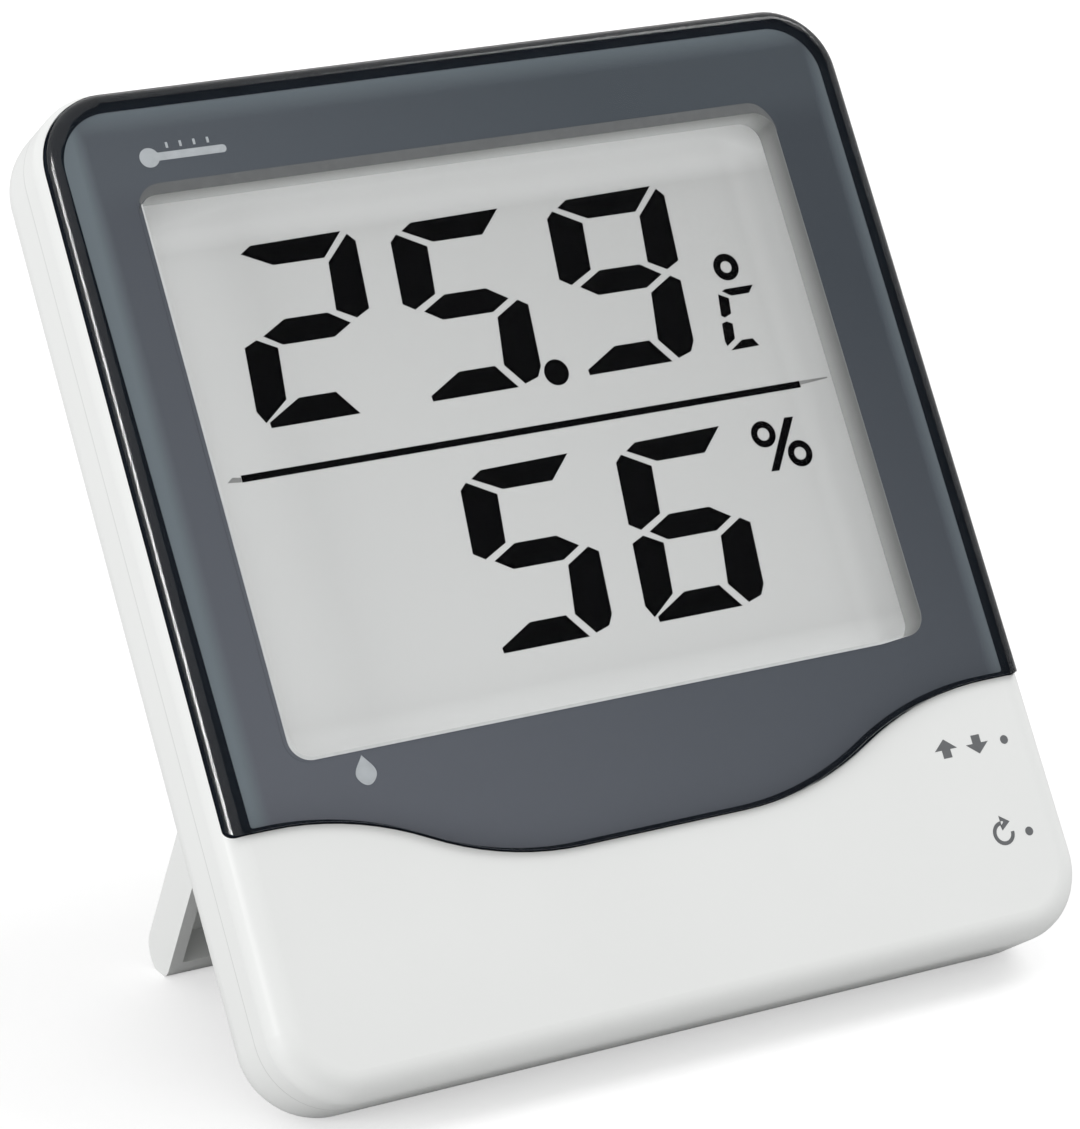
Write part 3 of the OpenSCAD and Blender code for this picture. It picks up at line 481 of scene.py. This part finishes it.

# The grey print behind the lens leaves the display's window clear. Lighter bands at the
# lens's left, right and top edges, and a faint one just above the window, are painted
# reflection on the print. The print itself is lightest at the lower left.
mask_ink, tree, ink = finish("mask_ink")
ink.inputs["Specular IOR Level"].default_value = 0
where, axes = case_place(tree)
slant = calc(tree, "ADD", axes["X"], axes["Y"])
tone = ramp(tree, slant, -0.02, 0.12, (0.126, 0.133, 0.154), (0.058, 0.066, 0.078))
# Painted reflection: lighter bluish bands at the lens's edges and above the window.
painted_sheen = ramp(tree, axes["X"], -0.0449, -0.0431, 1.0, 0.0)
for edge in (ramp(tree, axes["X"], 0.0455, 0.0475, 0.0, 0.8),
             ramp(tree, axes["Y"], 0.1050, 0.1078, 0.0, 0.7),
             ramp(tree, axes["Y"], 0.0965, 0.1000, 0.0, 0.12)):
    painted_sheen = calc(tree, "MAXIMUM", painted_sheen, edge)
link(tree, blend(tree, painted_sheen, tone, (0.162, 0.19, 0.21)), ink.inputs["Base Color"])
uneven_gloss(tree, where, 250, 3, 0.42, 0.55)
dress("lens_mask", mask_ink)


# Display: two glass plates hold the liquid crystal between a front polarizer, the pale
# grey film that the window shows, and a rear polarizer with a silver reflector. The
# film is painted darker towards the upper right, as painted shade from the window's
# walls, and painted paler along the walls, as painted light.
film, tree, skin = finish("lcd_film")
skin.inputs["Specular IOR Level"].default_value = 0.15
where, axes = case_place(tree)
# Painted shade: the film darkens towards the upper right.
slant = calc(tree, "SUBTRACT", axes["Y"], calc(tree, "MULTIPLY", axes["X"], -0.675))
tone = ramp(tree, slant, 0.020, 0.110, (0.681, 0.681, 0.676), (0.502, 0.502, 0.498))
# Painted light: the film is paler along the window's walls.
painted_edge_light = ramp(tree, axes["X"], -0.0395, -0.027, 0.42, 0.0)
for edge in (ramp(tree, axes["X"], 0.0335, 0.0380, 0.0, 0.45),
             ramp(tree, axes["Y"], 0.0926, 0.0974, 0.0, 1.0),
             ramp(tree, axes["Y"], 0.0366, 0.0396, 0.5, 0.0)):
    painted_edge_light = calc(tree, "ADD", painted_edge_light, edge)
tone = blend(tree, painted_edge_light, tone, (0.97, 0.97, 0.965))
speck = ramp(tree, noise(tree, where, 6000, 2), 0.45, 0.8, 0.0, 0.2)
link(tree, blend(tree, speck, tone, (0.72, 0.72, 0.715)), skin.inputs["Base Color"])
uneven_gloss(tree, where, 120, 2, 0.45, 0.55)
dress("lcd_front_polarizer", film)

reflector, tree, skin = finish("lcd_reflector")
where = object_place(tree)
link(tree, ramp(tree, noise(tree, where, 5000, 2), 0.3, 0.7, (0.5, 0.52, 0.5),
                (0.68, 0.7, 0.67)), skin.inputs["Base Color"])
uneven_gloss(tree, where, 700, 2, 0.3, 0.5)
skin.inputs["Metallic"].default_value = 0.6
dress("lcd_rear_polarizer", reflector)

glass, tree, skin = finish("lcd_glass")
skin.inputs["Base Color"].default_value = (0.88, 0.95, 0.9, 1)
skin.inputs["Transmission Weight"].default_value = 1
skin.inputs["IOR"].default_value = 1.5
uneven_gloss(tree, object_place(tree), 80, 2, 0.02, 0.05)
dress("lcd_front_glass", glass)
dress("lcd_rear_glass", glass)

# Figures: dark segments of liquid crystal, seven to a figure. Their points are
# measured from the middle of an upright figure, and the figures lean to the right.
segments = {
    "A": [(-6.05, 9.3), (-4.8, 10.1), (6.1, 10.3), (3.65, 7.6), (-2.5, 7.6)],
    "B": [(6.8, 9.9), (7.7, 9.0), (7.78, 1.23), (6.15, 0.4), (3.86, 1.58), (4.02, 7.0)],
    "C": [(6.33, -0.38), (7.54, -1.1), (7.6, -8.2), (7.0, -9.4), (5.3, -9.93),
          (3.14, -7.47), (3.5, -2.0)],
    "D": [(-6.3, -9.6), (-6.2, -10.23), (4.4, -10.2), (2.0, -7.4), (-2.45, -7.4)],
    "E": [(-6.1, -0.4), (-7.6, -1.07), (-7.6, -8.2), (-6.7, -9.6), (-3.9, -7.37),
          (-3.75, -1.6)],
    "F": [(-6.8, 9.0), (-3.3, 7.16), (-3.45, 1.7), (-6.2, 0.27), (-7.6, 1.1),
          (-7.6, 8.2)],
    "G": [(-5.2, -0.1), (-2.4, 1.47), (2.75, 1.46), (5.3, -0.06), (3.1, -1.33),
          (-3.1, -1.33)]}
figures = (("tens", -22.42, 82.36, "ABGED"), ("ones", -2.98, 82.36, "AFGCD"),
           ("tenths", 16.6, 82.41, "ABCDFG"), ("humid_tens", -3.0, 53.6, "AFGCD"),
           ("humid_ones", 16.43, 53.7, "ACDEFG"))
lean = 0.09
film_depth = 6.08
crystal_black = print_ink("crystal_black", (0.001, 0.001, 0.0012), 0.3)
for name, x, y, lit in figures:
    loops = [[(x + u + lean * v, y + v) for u, v in segments[part]] for part in lit]
    set_down(flat("lcd_" + name, loops, film_depth), crystal_black)

signs = {
    "lcd_point": [ring(5.53, 73.12, 1.5)],
    "lcd_degree": [ring(30.23, 82.02, 1.6), ring(30.23, 82.02, 0.7)],
    "lcd_scale_c": [
        [(28.81, 79.29), (29.28, 79.49), (32.94, 79.51), (32.19, 78.64), (29.85, 78.62)],
        [(28.22, 79.01), (29.43, 78.37), (29.15, 76.58), (28.22, 76.21), (27.81, 76.51)],
        [(27.62, 75.58), (28.28, 75.76), (28.96, 75.38), (28.7, 73.63), (27.49, 72.9),
         (27.34, 73.47)],
        [(27.82, 72.35), (29.52, 73.36), (30.93, 73.34), (31.5, 72.41)]],
    "lcd_percent": [
        [(31.93, 63.67), (33.1, 63.62), (29.39, 57.78), (28.34, 57.83)],
        ring(28.71, 62.19, 1.55), ring(28.71, 62.19, 0.75),
        ring(32.63, 59.31, 1.55), ring(32.63, 59.31, 0.75)],
    "lcd_divider": [[(-34.5, 66.8), (35.2, 66.8), (35.2, 67.57), (-34.5, 67.57)]]}
for name, loops in signs.items():
    set_down(flat(name, loops, film_depth), crystal_black)

# The divider's track shows faintly at both of its ends.
faint = print_ink("crystal_faint", (0.3, 0.3, 0.298))
tails = [[(-36.2, 67.0), (-34.55, 66.85), (-34.55, 67.35), (-35.5, 67.5)],
         [(35.25, 67.1), (38.9, 67.35), (38.9, 67.5), (35.25, 67.55)]]
set_down(flat("lcd_divider_track", tails, film_depth), faint)


# Window's edge: the grey print narrows the window a little at the left and the foot,
# where a pale line of painted highlight edges it, and a grey band of painted shade runs
# over the window. All three are printed on the back of the lens.
def window_side(x, low, top):
    """The window's left side and its foot, which tapers off at the right."""
    r = 2.5
    return [(-x, top, -90, 1, 1), (-x, low + r, -90, 1, quarter * r),
            (r - x, low, 0, quarter * r, 1), (33, low, 0, 1, 1), (37, 35.83, 5, 1, 0)]


def window_strip(name, outer, inner, ink):
    back_again = [(x, y, aim + 180, after, before)
                  for x, y, aim, before, after in reversed(window_side(*inner))]
    strip = flat(name, [window_side(*outer) + back_again[1:]], print_depth)
    set_down(strip, ink)


window_strip("window_edge_print", (39.6, 35.4, 97.3), (39.15, 35.5, 97.2), mask_ink)
# Painted highlight: a pale line along the window's left side and foot.
window_strip("window_highlight_print", (39.15, 35.5, 97.0), (38.95, 35.84, 97.0),
             print_ink("window_highlight_ink", (0.56, 0.565, 0.565)))
# Painted shade: a grey band along the window's top, printed on the back of the lens.
window_top_shade = flat("window_top_shade_print", [
    [(39.5, 96.0, 90, 0.3, 1.6), (36.6, 99.6, 180, 1.7, 2), (-36.4, 99.6, 180, 2, 1.8),
     (-39.5, 96.6, 270, 1.7, 0.1), (-39.35, 96.6, 90, 0.1, 1.2),
     (-37.0, 98.35, 0, 1.2, 2), (36.9, 98.35, 0, 2, 1.2), (39.35, 96.0, 270, 1.2, 0.1)],
], print_depth)
set_down(window_top_shade, print_ink("window_top_shade_ink", (0.135, 0.138, 0.14)))


# Panel: signs for the two side buttons are printed in grey on the flat panel, with
# a dot at the edge beside each button. Arrows up and down stand for the highest and
# lowest readings, and a turning arrow for reset.
panel_depth = 0.58
grey_ink = print_ink("grey_ink", (0.11, 0.115, 0.12), 0.4, 0.4)
arrows = [
    [(36.0, 21.35), (36.0, 22.3), (35.1, 22.3), (36.55, 23.5), (38.0, 22.3),
     (37.1, 22.3), (37.1, 21.35)],
    [(40.1, 23.25), (40.1, 22.3), (39.2, 22.3), (40.65, 21.1), (42.1, 22.3),
     (41.2, 22.3), (41.2, 23.25)]]
set_down(flat("high_low_print", arrows, panel_depth), grey_ink)
dots = [ring(44.2, 22.05, 0.5), ring(43.9, 11.5, 0.5)]
set_down(flat("button_dots_print", dots, panel_depth), grey_ink)
x, y, r, half_line = 40.65, 11.9, 1.15, 0.22
outer, inner = r + half_line, r - half_line
k, j = quarter * outer, quarter * inner
turning_arrow = [
    [(x, y + outer, 180, k, k), (x - outer, y, 270, k, k), (x, y - outer, 0, k, k),
     (x + outer, y, 90, k, 0), (x + inner, y, 270, 0, j), (x, y - inner, 180, j, j),
     (x - inner, y, 90, j, j), (x, y + inner, 0, j, 0)],
    [(x - 0.05, y + r + 0.85), (x + 1.15, y + r), (x - 0.05, y + r - 0.85)]]
set_down(flat("reset_print", turning_arrow, panel_depth), grey_ink)


# Metal: the screws, the battery's spring and contact, the crystal's can and the
# switch housings are plated steel, with fine drawn lines and dull patches.
steel, tree, skin = finish("tinned_steel")
where = object_place(tree)
stretched = tree.nodes.new("ShaderNodeMapping")
stretched.inputs["Scale"].default_value = (1, 0.15, 1)
link(tree, where, stretched.inputs["Vector"])
bright = (0.66, 0.66, 0.63)
patch = tuple(c * 0.82 for c in bright)
link(tree, ramp(tree, noise(tree, where, 200, 3), 0.35, 0.7, patch, bright),
     skin.inputs["Base Color"])
uneven_gloss(tree, stretched.outputs["Vector"], 1500, 3, 0.22, 0.42)
skin.inputs["Metallic"].default_value = 1
for name in ("case_screws", "board_screws", "battery_spring", "battery_contact",
             "crystal", "tact_switches", "unit_switch_body"):
    dress(name, steel)


# Main board and button board: green solder mask over copper tracks on a glass fibre
# laminate. The tracks stand up a little under the mask.
laminate, tree, skin = finish("board_laminate")
where = case_place(tree)[0]
tracks = tree.nodes.new("ShaderNodeTexVoronoi")
tracks.feature = "DISTANCE_TO_EDGE"
tracks.distance = "CHEBYCHEV"
tracks.inputs["Scale"].default_value = 230
link(tree, where, tracks.inputs["Vector"])
track = ramp(tree, tracks.outputs["Distance"], 0.05, 0.08, 1.0, 0.0)
link(tree, blend(tree, track, (0.012, 0.12, 0.05), (0.03, 0.22, 0.09)),
     skin.inputs["Base Color"])
uneven_gloss(tree, where, 400, 2, 0.28, 0.42)
raised = tree.nodes.new("ShaderNodeBump")
raised.inputs["Distance"].default_value = 0.00004
raised.inputs["Strength"].default_value = 0.4
link(tree, track, raised.inputs["Height"])
link(tree, raised.outputs["Normal"], skin.inputs["Normal"])
dress("circuit_board", laminate)
dress("button_board", laminate)


# Small parts: the controller's chip lies under a drop of black epoxy, which sets with
# an uneven skin. Capacitors and resistors are fired ceramic, the sensors are moulded,
# and the knob and the plungers are black plastic.
dress("chip_blob", moulded("black_resin", (0.012, 0.012, 0.014), 350, 0.00005, 0.5))
dress("capacitors", moulded("capacitor_body", (0.47, 0.33, 0.19), 2200))
dress("resistors", moulded("resistor_body", (0.03, 0.03, 0.034), 1800))
dress("humidity_sensor", moulded("sensor_body", (0.78, 0.78, 0.75), 3000))
black_plastic = moulded("black_plastic", (0.022, 0.022, 0.024), 2400)
for name in ("temperature_sensor", "unit_switch_knob", "max_min_plunger",
             "reset_plunger"):
    dress(name, black_plastic)


# Contact strip and ribbon: the strip is silicone rubber in thin layers, by turns black
# with carbon and clear, pressed between the display's ledge and the board. The ribbon
# is a row of flat conductors in a pale film, soldered to both boards.
def striped(name, stripes, low, high, first, second):
    """A material with fine stripes across the case."""
    material, tree, skin = finish(name)
    where = case_place(tree)[0]
    layers = tree.nodes.new("ShaderNodeTexWave")
    layers.inputs["Scale"].default_value = stripes
    link(tree, where, layers.inputs["Vector"])
    link(tree, ramp(tree, layers.outputs["Fac"], low, high, first, second),
         skin.inputs["Base Color"])
    return material, tree, where


rubber, tree, where = striped("strip_rubber", 1200, 0.4, 0.6, (0.02, 0.02, 0.022),
                              (0.5, 0.5, 0.48))
uneven_gloss(tree, where, 500, 2, 0.6, 0.75)
dress("zebra_connector", rubber)
ribbon, tree, where = striped("ribbon_film", 450, 0.45, 0.55, (0.62, 0.60, 0.53),
                              (0.55, 0.33, 0.18))
uneven_gloss(tree, where, 300, 2, 0.35, 0.5)
dress("button_ribbon", ribbon)


# Leads: stranded wire in soft insulation, red for plus and black for minus, soldered
# to the battery's contacts. The minus lead runs along the left wall and then in front.
lead_depth = -0.0066
left_wall = -0.0458
insulation, tree, skin = finish("lead_insulation")
where, axes = case_place(tree)
in_front = ramp(tree, axes["Z"], lead_depth, lead_depth + 0.0002, 0.0, 1.0)
at_left = ramp(tree, axes["X"], -0.0001, 0.0001, 1.0, 0.0)
along_wall = ramp(tree, axes["X"], left_wall, left_wall + 0.0001, 1.0, 0.0)
minus = calc(tree, "MAXIMUM", calc(tree, "MULTIPLY", in_front, at_left), along_wall)
link(tree, blend(tree, minus, (0.45, 0.03, 0.025), (0.02, 0.02, 0.022)),
     skin.inputs["Base Color"])
uneven_gloss(tree, where, 900, 2, 0.38, 0.52)
dress("battery_leads", insulation)


# Cell: a printed sleeve, silver over the body and blue at the plus end, is shrunk
# round the steel can and leaves its ends bare.
sleeve_end = 0.0236
band_start = 0.0100
sleeve, tree, skin = finish("cell_sleeve")
where, axes = case_place(tree)
bare = ramp(tree, axes["X"], sleeve_end, sleeve_end + 0.0001, 0.0, 1.0)
band = ramp(tree, axes["X"], band_start, band_start + 0.0001, 0.0, 1.0)
tone = blend(tree, band, (0.32, 0.34, 0.36), (0.02, 0.10, 0.32))
link(tree, blend(tree, bare, tone, (0.62, 0.62, 0.6)), skin.inputs["Base Color"])
link(tree, bare, skin.inputs["Metallic"])
uneven_gloss(tree, where, 300, 2, 0.25, 0.38)
dress("battery", sleeve)


# Studio: a pale floor, an even white surround, a soft lamp high on the right and a
# smaller one on the left. The floor and the surround look white to the camera and
# through glass, and light the object less than they show.
near_glow, far_glow = 0.5, 1.0
surround_light = 0.77
bpy.ops.object.select_all(action="DESELECT")
bpy.ops.mesh.primitive_plane_add(size=4, location=(0, 0, 0))
floor = bpy.context.object
floor.name = "studio_floor"
paper, tree, skin = finish("studio_paper")
where = object_place(tree)
link(tree, ramp(tree, noise(tree, where, 40, 3), 0.3, 0.7, (0.56, 0.56, 0.56),
                (0.58, 0.58, 0.58)), skin.inputs["Base Color"])
skin.inputs["Roughness"].default_value = 0.9
skin.inputs["Specular IOR Level"].default_value = 0
path = tree.nodes.new("ShaderNodeLightPath")
glow = tree.nodes.new("ShaderNodeEmission")
both = tree.nodes.new("ShaderNodeAddShader")
seen = calc(tree, "MAXIMUM", path.outputs["Is Camera Ray"],
            path.outputs["Is Transmission Ray"])
reach = tree.nodes.new("ShaderNodeVectorMath")
reach.operation = "LENGTH"
link(tree, where, reach.inputs[0])
outwards = ramp(tree, reach.outputs["Value"], 0.3, 0.9, near_glow, far_glow)
link(tree, calc(tree, "MULTIPLY", seen, outwards), glow.inputs["Strength"])
link(tree, skin.outputs["BSDF"], both.inputs[0])
link(tree, glow.outputs["Emission"], both.inputs[1])
link(tree, both.outputs["Shader"], tree.nodes["Material Output"].inputs["Surface"])
floor.data.materials.append(paper)

world = bpy.data.worlds.new("studio_surround")
bpy.context.scene.world = world
world.use_nodes = True
tree = world.node_tree
surround = tree.nodes["Background"]
path = tree.nodes.new("ShaderNodeLightPath")
seen = calc(tree, "MAXIMUM", path.outputs["Is Camera Ray"],
            path.outputs["Is Glossy Ray"])
seen = calc(tree, "MAXIMUM", seen, path.outputs["Is Transmission Ray"])
link(tree, ramp(tree, seen, 0, 1, surround_light, 1.0), surround.inputs["Strength"])
surround.inputs["Color"].default_value = (1, 1, 1, 1)


def softbox(name, place, size, power):
    lamp = bpy.data.lights.new(name, "AREA")
    lamp.size = size
    lamp.energy = power
    holder = bpy.data.objects.new(name, lamp)
    bpy.context.collection.objects.link(holder)
    holder.location = place
    aim = Vector((0, 0, 0.05)) - Vector(place)
    holder.rotation_euler = aim.to_track_quat("-Z", "Y").to_euler()
    return holder


softbox("lamp_right", (0.75, -0.15, 1.0), 0.5, 5)
softbox("lamp_left", (-1.15, -0.1, 0.35), 0.35, 5.2)

# A tall strip lamp on the left shines only on the lens, whose rim mirrors it as a
# bright line.
gleam = softbox("lamp_gleam", (-1.1, -0.05, 0.35), 0.4, 20)
gleam.data.shape = "RECTANGLE"
gleam.data.size_y = 0.9
gleam.visible_diffuse = False
gleam.visible_transmission = False
lens_only = bpy.data.collections.new("lens_only")
lens_only.objects.link(lens)
gleam.light_linking.receiver_collection = lens_only

# The camera stands and looks as the one that took the photograph.
view = bpy.data.cameras.new("camera")
view.sensor_width = 36
view.lens = 143.5
view.clip_start = 0.01
camera = bpy.data.objects.new("camera", view)
bpy.context.collection.objects.link(camera)
stand = Vector((-0.22664, -0.40639, 0.20710))
right = Vector((0.87371, -0.48643, -0.00392))
upward = Vector((0.16260, 0.28443, 0.94481))
ahead = Vector((0.45847, 0.82612, -0.32761))
camera.matrix_world = Matrix((
    (right.x, upward.x, -ahead.x, stand.x),
    (right.y, upward.y, -ahead.y, stand.y),
    (right.z, upward.z, -ahead.z, stand.z),
    (0, 0, 0, 1)))
bpy.context.scene.camera = camera
